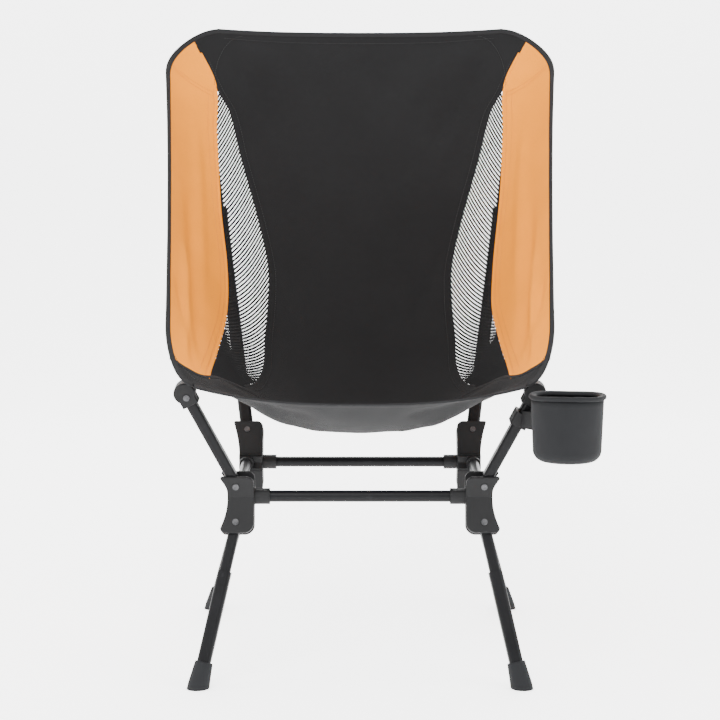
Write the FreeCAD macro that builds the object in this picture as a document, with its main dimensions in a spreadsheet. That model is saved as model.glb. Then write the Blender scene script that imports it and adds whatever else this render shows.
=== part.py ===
"""Low camping chair: a bar frame with four hubs, folding telescopic legs, arms, poles and a fabric sling.

Millimetres. +Z is up, +X is the sitter's left, and the sitter looks along -Y.
The origin is the middle of the chair's bounding box, on the ground.
"""
import FreeCAD, Part
import math
import os
from FreeCAD import Matrix, Placement, Rotation, Vector

doc = FreeCAD.newDocument("camping_chair")

# ---------------------------------------------------------------- driving dimensions
DRIVING = [
    ("base_y", -49.3, "middle of the base frame, along Y"),
    ("hub_front_x", 161, "front hub centre from the mid-plane"),
    ("hub_rear_x", 168, "rear hub centre from the mid-plane"),
    ("hub_y", 162, "hub centre from the middle of the base"),
    ("bar_z", 237, "height of the frame bars"),
    ("bar_dia", 15, "frame bar diameter"),
    ("bar_wall", 1.2, "frame bar wall"),
    ("socket_dia", 21, "hub socket diameter"),
    ("socket_reach", 20, "socket length outside the hub"),
    ("hub_depth", 28, "hub thickness across both cheeks"),
    ("hub_inner", 23.5, "hub cheek, from the pin towards the mid-plane"),
    ("hub_outer", 20, "hub cheek, from the pin outwards at its ends"),
    ("hub_waist", 11, "hub cheek, from the pin outwards at its waist"),
    ("pin_dia", 5, "pivot pin diameter"),
    ("fit_gap", 0.05, "radial running clearance"),
    ("arm_width", 14, "front arm tube, across the chair"),
    ("pole_width", 19, "lower pole tube, across the chair"),
    ("arm_depth", 18, "arm and pole tube, along the pin"),
    ("arm_wall", 1.4, "arm and pole tube wall"),
    ("arm_round", 4, "arm and pole tube corner radius"),
    ("arm_pin_z", 254, "front arm pin height"),
    ("pole_pin_z", 280, "back pole pin height"),
    ("leg_pin_z", 203, "leg pin height"),
    ("corner_x", 222, "front arm's upper pin, from the mid-plane"),
    ("corner_y", 187, "front arm's upper pin, forward of the base middle"),
    ("corner_z", 371, "front arm's upper pin height"),
    ("tip_x", 254, "pole tip from the mid-plane"),
    ("tip_y", 411, "pole tip behind the base middle"),
    ("tip_z", 866, "pole tip height"),
    ("pole_thin", 11, "upper pole diameter"),
    ("pole_split", 350, "length of the lower pole above its pin"),
    ("foot_front_x", 207, "front foot from the mid-plane"),
    ("foot_rear_x", 225, "rear foot from the mid-plane"),
    ("foot_y", 230, "feet from the base middle"),
    ("leg_size", 14, "upper leg tube side"),
    ("leg_wall", 1.2, "upper leg tube wall"),
    ("leg_round", 3.5, "upper leg tube corner radius"),
    ("sleeve_size", 17.6, "lower leg tube side"),
    ("sleeve_wall", 1.5, "lower leg tube wall"),
    ("sleeve_round", 4.8, "lower leg tube corner radius"),
    ("sleeve_length", 138, "lower leg tube length"),
    ("leg_overlap", 54, "upper leg inside the sleeve with the leg drawn out"),
    ("leg_travel", 40, "how far the sleeve slides up"),
    ("foot_top_dia", 23, "boot diameter at its top"),
    ("foot_low_dia", 28, "boot diameter at the ground"),
    ("foot_height", 34, "boot height along the leg"),
    ("button_dia", 7, "leg release button"),
    ("button_proud", 2.4, "button height outside the sleeve"),
    ("button_travel", 2, "button travel"),
    ("sheet_thick", 2.4, "sling sheet thickness"),
    ("sheet_gap", 1, "gap between neighbouring sheets"),
    ("binding_width", 4.5, "binding tape width outside the sheet"),
    ("binding_thick", 5, "binding tape thickness"),
    ("top_y", 415, "sling top edge behind the base middle"),
    ("top_z", 890, "sling top edge height in the middle"),
    ("wing_top_y", 402, "sling outer top corner behind the base middle"),
    ("wing_top_z", 903, "sling outer top corner height"),
    ("front_y", 205, "seat front edge forward of the base middle"),
    ("front_z", 360, "seat front edge height in the middle"),
    ("wing_front_y", 230, "sling outer front corner forward of the base middle"),
    ("wing_front_z", 399, "sling outer front corner height"),
    ("half_top", 310, "sling half width at the top"),
    ("half_front", 243, "sling half width at the front"),
    ("cup_x", 256.5, "cup centre from the mid-plane"),
    ("cup_y", 272, "cup centre forward of the base middle"),
    ("cup_top_z", 376, "cup body top"),
    ("cup_height", 78, "cup body height"),
    ("cup_radius", 45, "cup body outer radius"),
    ("cup_wall", 3, "cup body wall"),
    ("rim_radius", 48, "cup rim outer radius"),
    ("rim_thick", 6, "cup rim height"),
]
sheet = doc.addObject("Spreadsheet::Sheet", "Dimensions")
for row, (alias, value, meaning) in enumerate(DRIVING, start=1):
    sheet.set(f"A{row}", meaning)
    sheet.set(f"B{row}", str(value))
    sheet.setAlias(f"B{row}", alias)
doc.recompute()


def size(alias):
    return float(getattr(sheet, alias))


MADE = []


def keep(shape_object, node):
    """Gives a finished sub-part its name and lists it for export."""
    shape_object.Label = node
    MADE.append(shape_object)
    return shape_object


def bind(document_object, **formulas):
    for name, formula in formulas.items():
        document_object.setExpression(name.replace("__", "."), formula)
    return document_object


# ---------------------------------------------------------------- places and directions
BASE = Vector(0, size("base_y"), 0)
SIDES = {"left": 1, "right": -1}
ENDS = {"front": -1, "rear": 1}
CORNERS = [(end, side) for end in ENDS for side in SIDES]


def at(x, y, z):
    """A point given from the middle of the base frame."""
    return BASE + Vector(x, y, z)


def hub_centre(end, side):
    return at(SIDES[side] * size(f"hub_{end}_x"), ENDS[end] * size("hub_y"), size("bar_z"))


def line_frame(start, finish):
    """A frame whose Z runs from start to finish and whose Y leans with it but holds no X."""
    along = (finish - start).normalize()
    pin = Vector(1, 0, 0).cross(Vector(0, along.y, along.z)).normalize()
    if pin.y < 0:
        pin = pin * -1
    across = pin.cross(along)
    turn = Matrix(across.x, pin.x, along.x, start.x,
                  across.y, pin.y, along.y, start.y,
                  across.z, pin.z, along.z, start.z, 0, 0, 0, 1)
    return Placement(turn)


def pin_point(end, side, height, far_y, far_z):
    """The pivot where a straight limb, seen from the side, leaves the bar's centre line."""
    share = (height - size("bar_z")) / (far_z - size("bar_z"))
    reach = size("hub_y") + (far_y - size("hub_y")) * share
    return at(SIDES[side] * size(f"hub_{end}_x"), ENDS[end] * reach, height)


def limb(kind, side):
    """Pivot and far end of one limb: arm, pole, front leg or rear leg."""
    sign = SIDES[side]
    if kind == "arm":
        far = (size("corner_x"), size("corner_y"), size("corner_z"))
        return (pin_point("front", side, size("arm_pin_z"), *far[1:]),
                at(sign * far[0], -far[1], far[2]))
    if kind == "pole":
        far = (size("tip_x"), size("tip_y"), size("tip_z"))
        return (pin_point("rear", side, size("pole_pin_z"), *far[1:]),
                at(sign * far[0], far[1], far[2]))
    far = (size(f"foot_{kind}_x"), size("foot_y"), 0)
    return (pin_point(kind, side, size("leg_pin_z"), *far[1:]),
            at(sign * far[0], ENDS[kind] * far[1], 0))


# ---------------------------------------------------------------- building blocks
def rounded_bar(name, wide, deep, long, start, corner):
    """A bar along Z with rounded long edges, centred on Z; sizes are spreadsheet formulas."""
    box = bind(doc.addObject("Part::Box", name + "_box"), Length=wide, Width=deep, Height=long,
               Placement__Base__x=f"-({wide})/2", Placement__Base__y=f"-({deep})/2",
               Placement__Base__z=start)
    doc.recompute()
    upright = [index + 1 for index, edge in enumerate(box.Shape.Edges)
               if abs(edge.Vertexes[0].Z - edge.Vertexes[-1].Z) > 1]
    rounded = doc.addObject("Part::Fillet", name + "_bar")
    rounded.Base = box
    rounded.Edges = [(index, corner, corner) for index in upright]
    return rounded


def rod(name, diameter, long, start="0", axis="Z"):
    """A round rod centred on its axis, from start along that axis."""
    stick = bind(doc.addObject("Part::Cylinder", name), Radius=f"({diameter})/2", Height=long)
    if axis == "Y":
        stick.Placement = Placement(Vector(0, 0, 0), Rotation(Vector(1, 0, 0), -90))
        bind(stick, Placement__Base__y=start)
    elif axis == "X":
        stick.Placement = Placement(Vector(0, 0, 0), Rotation(Vector(0, 1, 0), 90))
        bind(stick, Placement__Base__x=start)
    else:
        bind(stick, Placement__Base__z=start)
    return stick


def cut(name, base, *tools):
    """The base with each tool taken away, one cut after another."""
    for count, tool in enumerate(tools):
        step = doc.addObject("Part::Cut", f"{name}_cut{count}")
        step.Base, step.Tool = base, tool
        base = step
    return base


def cross_hole(name, diameter, height):
    """A hole across the tube, along the pin, at a height in the tube's own frame."""
    hole = rod(name, diameter, "60", "-30", "Y")
    return bind(hole, Placement__Base__z=height)


def place(shape_object, placement):
    shape_object.Placement = placement
    return shape_object


def feature(node, shape, placement=None):
    """A sub-part whose solid is worked out by Part's own functions."""
    solid = doc.addObject("Part::Feature", node)
    solid.Shape = shape
    if placement:
        solid.Placement = placement
    return keep(solid, node)


D = "Dimensions."
HOLE = f"{D}pin_dia+2*{D}fit_gap"


# ---------------------------------------------------------------- bars between the hubs
def frame_bar(node, axis, middle, half_length, turn=Rotation()):
    outer = rod(node + "_outer", f"{D}bar_dia", f"2*({half_length})", f"-({half_length})", axis)
    bore = rod(node + "_bore", f"{D}bar_dia-2*{D}bar_wall", f"2*({half_length})+2",
               f"-({half_length})-1", axis)
    bar = cut(node, outer, bore)
    return keep(place(bar, Placement(middle, turn)), node)


for end, way in ENDS.items():
    frame_bar(f"{end}_crossbar", "X", at(0, way * size("hub_y"), size("bar_z")), f"{D}hub_{end}_x-11")
for side in SIDES:
    run = hub_centre("rear", side) - hub_centre("front", side)
    frame_bar(f"side_bar_{side}", "Y", hub_centre("front", side) + run / 2, f"{D}hub_y-9",
              Rotation(Vector(0, 1, 0), run))


# ---------------------------------------------------------------- hubs
def cheek_outline(top, inner_round, outer_round):
    """One half of a hub cheek in its own X (outwards) and Z (away from the waist)."""
    inner, outer, waist = -size("hub_inner"), size("hub_outer"), size("hub_waist")
    low = -14
    points = [Vector(inner, 0, low), Vector(inner, 0, top - inner_round),
              Vector(inner + inner_round, 0, top), Vector(outer - outer_round, 0, top),
              Vector(outer, 0, top - outer_round), Vector(waist, 0, 4), Vector(waist, 0, low)]
    tangent = inner_round * (1 - math.sqrt(0.5))
    inner_arc = Part.Arc(points[1], Vector(inner + tangent, 0, top - tangent), points[2])
    tangent = outer_round * (1 - math.sqrt(0.5))
    outer_arc = Part.Arc(points[3], Vector(outer - tangent, 0, top - tangent), points[4])
    flank = Part.BezierCurve()
    flank.setPoles([points[4], Vector(waist + 1, 0, top * 0.52), Vector(waist, 0, 14), points[5]])
    edges = [Part.LineSegment(points[0], points[1]), inner_arc, Part.LineSegment(points[2], points[3]),
             outer_arc, flank, Part.LineSegment(points[5], points[6]),
             Part.LineSegment(points[6], points[0])]
    return Part.Face(Part.Wire([edge.toShape() for edge in edges]))


def fork(pivot, far, centre, side, slot_width, slot_base, top, rounds):
    """The block that a limb turns in, and the channel and pin hole to take from it, leaning alike."""
    lean = line_frame(centre, Vector(centre.x, far.y, far.z))
    depth = size("hub_depth")
    body = cheek_outline(top, *rounds).extrude(Vector(0, depth, 0))
    body.translate(Vector(0, -depth / 2, 0))
    body = body.makeFillet(1.5, [edge for edge in body.Edges if lies_flat(edge, depth / 2)])
    channel = Part.makeBox(80, slot_width, 80, Vector(-40, -slot_width / 2, slot_base))
    pin_height = (pivot - centre).Length
    hole = Part.makeCylinder(size("pin_dia") / 2, 60, Vector(0, -30, pin_height), Vector(0, 1, 0))
    if SIDES[side] * lean.Rotation.multVec(Vector(1, 0, 0)).x < 0:
        body = body.mirror(Vector(0, 0, 0), Vector(1, 0, 0))
    return placed(body, lean), placed(channel.fuse(hole), lean)


def lies_flat(edge, reach):
    """True for an edge of the cheek's front or back face, away from the waist."""
    box = edge.BoundBox
    return abs(abs(box.YMin) - reach) < 0.01 and box.YLength < 0.01 and box.ZMin > -13


def placed(shape, placement):
    copy = shape.copy()
    copy.Placement = placement
    return copy


def hub(end, side):
    sign = SIDES[side]
    centre = hub_centre(end, side)
    towards = (hub_centre("rear" if end == "front" else "front", side) - centre).normalize()
    upper_pin, upper_far = limb("arm" if end == "front" else "pole", side)
    lower_pin, lower_far = limb(end, side)
    upper_reach = (upper_pin - centre).Length
    lower_reach = (lower_pin - centre).Length
    upper, upper_space = fork(upper_pin, upper_far, centre, side, size("arm_depth") + 0.4, upper_reach - 8,
                              upper_reach + 13, (9, 2.5))
    lower, lower_space = fork(lower_pin, lower_far, centre, side, size("leg_size") + 0.4, lower_reach - 10.5,
                              lower_reach + 14, (13, 6))
    depth = size("hub_depth")
    core = Part.makeBox(size("hub_inner") + size("hub_waist"), depth - 2, 26,
                        Vector(-size("hub_inner"), 1 - depth / 2, -13))
    if sign < 0:
        core = core.mirror(Vector(0, 0, 0), Vector(1, 0, 0))
    core = placed(core, Placement(centre, Rotation()))
    socket = size("socket_dia") / 2
    length = size("hub_inner") + size("socket_reach")
    cross = Part.makeCylinder(socket, length, centre, Vector(-sign, 0, 0))
    along = Part.makeCylinder(socket, depth / 2 + size("socket_reach"), centre, towards)
    solid = core.fuse(cross).fuse(along).fuse(upper).fuse(lower).cut(upper_space).cut(lower_space)
    bore = size("bar_dia") / 2 + size("fit_gap")
    cross_bore = Part.makeCylinder(bore, 60, centre - Vector(sign * 10.5, 0, 0), Vector(-sign, 0, 0))
    along_bore = Part.makeCylinder(bore, 60, centre + towards * 8.5, towards)
    feature(f"hub_{end}_{side}", solid.cut(cross_bore).cut(along_bore))


for corner in CORNERS:
    hub(*corner)


# ---------------------------------------------------------------- pins
def pin_set(node, places, length):
    """Headed pins through the hubs or caps, all alike: (point, axis) pairs."""
    pins = []
    for point, axis in places:
        radius = size("pin_dia") / 2 - 0.02
        shank = Part.makeCylinder(radius, length, point - axis * (length / 2), axis)
        for way in (1, -1):
            head = Part.makeCylinder(radius + 1.6, 1.2, point + axis * (way * (length / 2)), axis * way)
            shank = shank.fuse(head)
        pins.append(shank.removeSplitter())
    feature(node, Part.makeCompound(pins))


def pin_axis(pivot, far):
    return line_frame(pivot, far).Rotation.multVec(Vector(0, 1, 0))


pin_set("leg_pivot_pins", [(limb(end, side)[0], pin_axis(*limb(end, side))) for end, side in CORNERS],
        size("hub_depth"))
UPPER = [limb(kind, side) for kind in ("arm", "pole") for side in SIDES]
pin_set("arm_pivot_pins", [(pivot, pin_axis(pivot, far)) for pivot, far in UPPER], size("hub_depth"))


# ---------------------------------------------------------------- front arms and back poles
def flat_tube(node, width, start, long, holes):
    outer = rounded_bar(node + "_outer", f"{D}{width}", f"{D}arm_depth", long, start, size("arm_round"))
    inner = rounded_bar(node + "_inner", f"{D}{width}-2*{D}arm_wall", f"{D}arm_depth-2*{D}arm_wall",
                        f"{long}+4", f"{start}-2", size("arm_round") - size("arm_wall"))
    drills = [cross_hole(f"{node}_hole{count}", HOLE, height) for count, height in enumerate(holes)]
    return cut(node, outer, inner, *drills)


for side in SIDES:
    pivot, far = limb("arm", side)
    reach = (far - pivot).Length
    arm = flat_tube(f"front_arm_{side}", "arm_width", "-5", f"{reach + 11}", ["0", f"{reach}"])
    keep(place(arm, line_frame(pivot, far)), f"front_arm_{side}")

    pivot, far = limb("pole", side)
    reach = (far - pivot).Length
    lower = flat_tube(f"back_pole_{side}", "pole_width", "-5", f"{D}pole_split+5", ["0"])
    keep(place(lower, line_frame(pivot, far)), f"back_pole_{side}")
    upper_rod = rod(f"pole_top_{side}_rod", f"{D}pole_thin", f"{reach}-{D}pole_split+20",
                    f"{D}pole_split-30")
    upper_bore = rod(f"pole_top_{side}_bore", f"{D}pole_thin-2.4", f"{reach}", f"{D}pole_split-31")
    upper = cut(f"pole_top_{side}", upper_rod, upper_bore)
    keep(place(upper, line_frame(pivot, far)), f"pole_top_{side}")
    collar = rounded_bar(f"pole_ferrule_{side}_collar", f"{D}pole_width+1.6", f"{D}arm_depth+1.6", "9",
                         f"{D}pole_split+0.1", 4.5)
    bore = rod(f"pole_ferrule_{side}_bore", f"{D}pole_thin+0.1", "60", f"{D}pole_split-40")
    ferrule = cut(f"pole_ferrule_{side}", collar, bore)
    keep(place(ferrule, line_frame(pivot, far)), f"pole_ferrule_{side}")
    knob = Part.makeCylinder(size("pole_thin") / 2, 4, Vector(0, 0, reach - 9.9))
    knob = knob.fuse(Part.makeSphere(size("pole_thin") / 2, Vector(0, 0, reach - 5.9), Vector(0, 0, 1), 0, 90))
    feature(f"pole_tip_{side}", knob.removeSplitter(), line_frame(pivot, far))


# ---------------------------------------------------------------- caps at the tops of the front arms
def corner_cap(side):
    """A flat rounded block that the arm plugs into; the seat's front corner is drawn over it."""
    pivot, far = limb("arm", side)
    lean = line_frame(pivot, far)
    reach = (far - pivot).Length
    deep = size("arm_depth") + 4
    stem = Part.makeBox(22, deep, 26, Vector(-11, -deep / 2, reach - 12))
    head = Part.makeCylinder(14, deep, Vector(0, -deep / 2, reach + 6), Vector(0, 1, 0))
    block = stem.fuse(head).removeSplitter()
    rims = [edge for edge in block.Edges if edge.BoundBox.YLength < 0.01]
    block = block.makeFillet(1.8, rims)
    well = Part.makeBox(size("arm_width") + 0.1, size("arm_depth") + 0.1, 40,
                        Vector(-size("arm_width") / 2 - 0.05, -size("arm_depth") / 2 - 0.05, reach - 33.9))
    well = well.makeFillet(size("arm_round"), [edge for edge in well.Edges if edge.BoundBox.ZLength > 39])
    hole = Part.makeCylinder(size("pin_dia") / 2, 60, Vector(0, -30, reach), Vector(0, 1, 0))
    feature(f"corner_cap_{side}", block.cut(well).cut(hole), lean)


for side in SIDES:
    corner_cap(side)
ARMS = [limb("arm", side) for side in SIDES]
pin_set("corner_cap_pins", [(far, pin_axis(pivot, far)) for pivot, far in ARMS], size("arm_depth") + 4)


# ---------------------------------------------------------------- telescopic legs
def leg(end, side):
    pivot, ground = limb(end, side)
    lean = line_frame(ground, pivot)
    reach = (pivot - ground).Length
    name = f"{end}_{side}"
    inward = -ENDS[end]
    sleeve_low = size("foot_height") - 20
    sleeve_top = sleeve_low + size("sleeve_length")
    upper_low = sleeve_top - size("leg_overlap")

    outer = rounded_bar(f"upper_leg_{name}_outer", f"{D}leg_size", f"{D}leg_size",
                        f"{reach + 6.5 - upper_low}", f"{upper_low}", size("leg_round"))
    inner = rounded_bar(f"upper_leg_{name}_inner", f"{D}leg_size-2*{D}leg_wall",
                        f"{D}leg_size-2*{D}leg_wall", f"{reach + 20 - upper_low}", f"{upper_low - 2}",
                        size("leg_round") - size("leg_wall"))
    button_z = sleeve_top - 16
    catches = [half_hole(f"upper_leg_{name}_catch{count}", size("button_dia") + 1, height, inward)
               for count, height in enumerate((button_z, button_z + size("leg_travel")))]
    pin_hole = cross_hole(f"upper_leg_{name}_pin", HOLE, f"{reach}")
    upper = cut(f"upper_leg_{name}", outer, inner, pin_hole, *catches)
    keep(place(upper, lean), f"upper_leg_{name}")

    outer = rounded_bar(f"lower_leg_{name}_outer", f"{D}sleeve_size", f"{D}sleeve_size",
                        f"{D}sleeve_length", f"{sleeve_low}", size("sleeve_round"))
    inner = rounded_bar(f"lower_leg_{name}_inner", f"{D}sleeve_size-2*{D}sleeve_wall",
                        f"{D}sleeve_size-2*{D}sleeve_wall", f"{D}sleeve_length+4", f"{sleeve_low - 2}",
                        size("sleeve_round") - size("sleeve_wall"))
    mouth = half_hole(f"lower_leg_{name}_mouth", size("button_dia") + 0.1, button_z, inward)
    keep(place(cut(f"lower_leg_{name}", outer, inner, mouth), lean), f"lower_leg_{name}")

    wall_in = size("sleeve_size") / 2 - size("sleeve_wall")
    tall = size("sleeve_wall") + size("button_proud")
    button = Part.makeCylinder(size("button_dia") / 2, tall, Vector(0, inward * wall_in, button_z),
                               Vector(0, inward, 0))
    crown = [edge for edge in button.Edges if abs(abs(edge.BoundBox.Center.y) - wall_in - tall) < 0.01]
    feature(f"leg_button_{name}", button.makeFillet(0.8, crown), lean)
    boot(name, lean)


def half_hole(name, diameter, height, way):
    """A hole through one wall only, on the side that way points to."""
    start = "2" if way > 0 else "-32"
    return bind(rod(name, f"{diameter}", "30", start, "Y"), Placement__Base__z=f"{height}")


def boot(name, lean):
    """A tapered rubber boot over the sleeve's end, flared at the ground and trimmed flat there."""
    top, low, tall = size("foot_top_dia") / 2, size("foot_low_dia") / 2, size("foot_height")
    below = 8
    profile = Part.makePolygon([Vector(0, 0, -below), Vector(low, 0, -below), Vector(low, 0, 5),
                                Vector(top, 0, tall), Vector(0, 0, tall), Vector(0, 0, -below)])
    solid = Part.Face(profile).revolve(Vector(0, 0, 0), Vector(0, 0, 1), 360)
    rims = [edge for edge in solid.Edges if edge.BoundBox.ZLength < 0.01 and edge.BoundBox.ZMin > 0]
    solid = solid.makeFillet(1.5, rims)
    side = size("sleeve_size")
    well = Part.makeBox(side, side, 40, Vector(-side / 2, -side / 2, tall - 20))
    well = well.makeFillet(size("sleeve_round"), [edge for edge in well.Edges if edge.BoundBox.ZLength > 39])
    solid = placed(solid.cut(well), lean)
    ground = Part.makeBox(900, 1200, 60, Vector(-450, -600, -60))
    feature(f"foot_{name}", solid.cut(ground))


for corner in CORNERS:
    leg(*corner)


# ---------------------------------------------------------------- the sling
def through(knots, where):
    """A smooth curve through (place, value) knots, by cubic Hermite spans."""
    spots = [knot[0] for knot in knots]
    values = [knot[1] for knot in knots]
    count = len(knots)
    slopes = []
    for index in range(count):
        low, high = max(index - 1, 0), min(index + 1, count - 1)
        slopes.append((values[high] - values[low]) / (spots[high] - spots[low]))
    where = min(max(where, spots[0]), spots[-1])
    span = max(index for index in range(count - 1) if spots[index] <= where)
    width = spots[span + 1] - spots[span]
    part = (where - spots[span]) / width
    return ((2 * part ** 3 - 3 * part ** 2 + 1) * values[span]
            + (part ** 3 - 2 * part ** 2 + part) * width * slopes[span]
            + (3 * part ** 2 - 2 * part ** 3) * values[span + 1]
            + (part ** 3 - part ** 2) * width * slopes[span + 1])


# Seam places across the sling, as shares of its half width, against the way down it.
CENTRE_SEAM = [(0.0, 0.88), (0.1, 0.76), (0.2, 0.65), (0.32, 0.54), (0.5, 0.525), (0.75, 0.63), (1.0, 0.66)]
WING_SEAM = [(0.0, 0.89), (0.1, 0.768), (0.22, 0.785), (0.5, 0.76), (0.7, 0.78), (1.0, 0.88)]
SEAT_SEAM = 0.73
TOP_ROUND, FRONT_ROUND = 0.166, 0.12


def middle_line(down):
    """The sling's middle from its top edge, down the back and along the seat: a Bezier curve."""
    poles = [(size("top_y"), size("top_z")), (325, 600), (205, 215), (-20, 268),
             (-size("front_y"), size("front_z"))]
    weights = [math.comb(4, index) * (1 - down) ** (4 - index) * down ** index for index in range(5)]
    return (sum(weight * pole[0] for weight, pole in zip(weights, poles)),
            sum(weight * pole[1] for weight, pole in zip(weights, poles)))


def sling_point(across, down):
    """The sling's surface: across is -1 to 1 over its width, down is 0 at the top, 1 at the front."""
    mid_y, mid_z = middle_line(down)
    edge_y = size("wing_top_y") - (size("wing_top_y") + size("wing_front_y")) * down ** 1.2
    edge_z = size("wing_top_z") - (size("wing_top_z") - size("wing_front_z")) * down
    half = size("half_top") - (size("half_top") - size("half_front")) * down
    share = abs(across) ** 2.6
    return at(half * across, mid_y + (edge_y - mid_y) * share, mid_z + (edge_z - mid_z) * share)


def outline(down):
    """How far the sheet reaches across, with round top and front corners."""
    if down < TOP_ROUND:
        return 0.71 + 0.29 * math.sqrt(1 - (1 - down / TOP_ROUND) ** 2)
    if down > 1 - FRONT_ROUND:
        return 1 - 0.15 * (1 - math.sqrt(1 - ((down - 1 + FRONT_ROUND) / FRONT_ROUND) ** 2))
    return 1.0


def seat_seam(across):
    """Where the back's panels meet the seat panel: lower towards the wings."""
    part = min(max((abs(across) - 0.58) / 0.3, 0), 1)
    return SEAT_SEAM + 0.2 * part * part * (3 - 2 * part)


def grid_normals(grid):
    """Unit normals of a grid of points, from its neighbours."""
    rows, columns = len(grid), len(grid[0])
    normals = []
    for i in range(rows):
        normals.append([])
        for j in range(columns):
            over = grid[min(i + 1, rows - 1)][j] - grid[max(i - 1, 0)][j]
            along = grid[i][min(j + 1, columns - 1)] - grid[i][max(j - 1, 0)]
            normals[-1].append(over.cross(along).normalize())
    return normals


def thick_sheet(grid, thickness):
    """A closed solid: the grid's surface moved half its thickness each way, with four side walls."""
    normals = grid_normals(grid)
    skins = []
    for way in (0.5, -0.5):
        surface = Part.BSplineSurface()
        surface.interpolate([[point + normal * (way * thickness) for point, normal in zip(row, lift)]
                             for row, lift in zip(grid, normals)])
        skins.append(surface.toShape())
    walls = [Part.makeRuledSurface(one, other) for one, other in zip(skins[0].Edges, skins[1].Edges)]
    shell = Part.makeShell(skins + walls)
    shell.sewShape()
    solid = Part.makeSolid(Part.Shell(shell.Faces))
    if solid.Volume < 0:
        solid.reverse()
    return solid


def steps(count):
    return [index / (count - 1) for index in range(count)]


def seam_crossing(across_at):
    """How far down the line across_at(down) meets the seat's seam, by repeated substitution."""
    down = 0.8
    for _ in range(12):
        down = seat_seam(across_at(down))
    return down


def panel_grid(inner, outer, first, across_count, down_count, crowd=1.0):
    """Points between two seams, from the share `first` down to the seat's seam."""
    grid = []
    for part in steps(across_count):
        finish = seam_crossing(lambda down: inner(down) + (outer(down) - inner(down)) * part) - SEAM_GAP
        row = []
        for step in steps(down_count):
            down = first + (finish - first) * step ** crowd
            row.append(sling_point(inner(down) + (outer(down) - inner(down)) * part, down))
        grid.append(row)
    return grid


NARROW = size("sheet_gap") / size("half_top") / 2
SEAM_GAP = 0.003


def centre_half(down):
    return min(through(CENTRE_SEAM, down), outline(down)) - NARROW


def seat_grid(across_count, down_count):
    """Points of the seat panel, from the seat's seam to the front edge."""
    grid = []
    for part in steps(across_count):
        across_at = lambda down: (2 * part - 1) * (outline(down) - 6 * NARROW)
        start = seam_crossing(across_at) + SEAM_GAP
        rows = [start + (1 - start) * (1 - (1 - step) ** 1.7) for step in steps(down_count)]
        grid.append([sling_point(across_at(down), down) for down in rows])
    return grid


def centre_line(down):
    return through(CENTRE_SEAM, down) + NARROW


def net_line(down):
    return through(WING_SEAM, down) - NARROW


def wing_line(down):
    return through(WING_SEAM, down) + NARROW


def wing_edge(down):
    return outline(down) - NARROW


def panel(node, inner, outer, first, across_count, down_count, crowd=1.0):
    grid = panel_grid(inner, outer, first, across_count, down_count, crowd)
    feature(node, thick_sheet(grid, size("sheet_thick")))


def side_panel(node, sign, inner, outer, *layout):
    """A panel between two seams of one side; the sign turns both seams to that side."""
    panel(node, lambda down: sign * inner(down), lambda down: sign * outer(down), *layout)


panel("back_panel", lambda down: -centre_half(down), centre_half, 0.0, 17, 31, 1.5)
feature("seat_panel", thick_sheet(seat_grid(31, 11), size("sheet_thick")))
for side, sign in SIDES.items():
    side_panel(f"mesh_panel_{side}", sign, centre_line, net_line, 0.125, 7, 15)
    side_panel(f"wing_panel_{side}", sign, wing_line, wing_edge, 0.05, 9, 21, 1.3)


# ---------------------------------------------------------------- binding tapes round the sling
def tape(node, route):
    """A folded tape outside the sheet's edge; route gives (across, down) from 0 to 1."""
    count = 31
    line = [sling_point(*route(step)) for step in steps(count)]
    inside = []
    for step in steps(count):
        across, down = route(step)
        inside.append(sling_point(across * 0.97, min(max(down, 0.02), 0.98)))
    grid = [[], []]
    for index, point in enumerate(line):
        along = (line[min(index + 1, count - 1)] - line[max(index - 1, 0)]).normalize()
        away = point - inside[index]
        away = (away - along * away.dot(along)).normalize()
        for row, share in enumerate((0.25, 1.0)):
            grid[row].append(point + away * (size("binding_width") * share))
    feature(node, thick_sheet([grid[0], [(a + b) * 0.5 for a, b in zip(*grid)], grid[1]],
                              size("binding_thick")))


tape("top_binding", lambda step: (0.71 * (2 * step - 1), 0.0))
tape("front_binding", lambda step: (outline(1.0) * (2 * step - 1), 1.0))
for side, sign in SIDES.items():
    tape(f"edge_binding_{side}",
         lambda step: (sign * outline(0.001 + 0.994 * step ** 1.6), 0.001 + 0.994 * step ** 1.6))


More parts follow.
